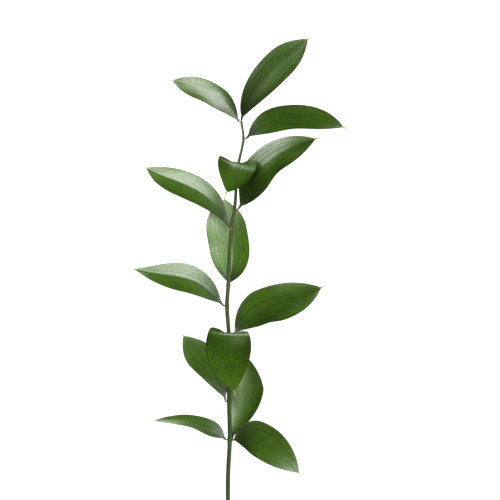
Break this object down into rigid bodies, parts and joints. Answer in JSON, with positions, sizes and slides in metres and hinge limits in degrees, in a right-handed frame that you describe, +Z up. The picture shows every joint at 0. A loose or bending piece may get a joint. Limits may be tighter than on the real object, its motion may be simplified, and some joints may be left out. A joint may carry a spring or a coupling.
{
  "type": "ruscus stem",
  "caption": "Cut leafy ruscus stem lying on a surface: a slender arching stem with pointed, leathery oval leaves on both sides, each ending in a small pale spine.",
  "frame": {"origin": "middle of the bottom of the bounding box, on the surface that the stem lies on", "axes": "+Y along the stem from its cut end to its top leaf, +X to the right as seen from above, +Z up from the surface"},
  "size_m": [0.1774, 0.4266, 0.0594],
  "materials": {
    "leaf": "satin, leathery",
    "stem": "matt, fibrous"
  },
  "bodies": {
    "root": {"stem": "stem", "leaf_01": "leaf", "leaf_02": "leaf", "leaf_03": "leaf", "leaf_04": "leaf", "leaf_05": "leaf", "leaf_06": "leaf", "leaf_07": "leaf", "leaf_08": "leaf", "leaf_09": "leaf", "leaf_10": "leaf", "leaf_11": "leaf", "leaf_12": "leaf", "leaf_13": "leaf", "leaf_14": "leaf"}
  },
  "joints": []
}
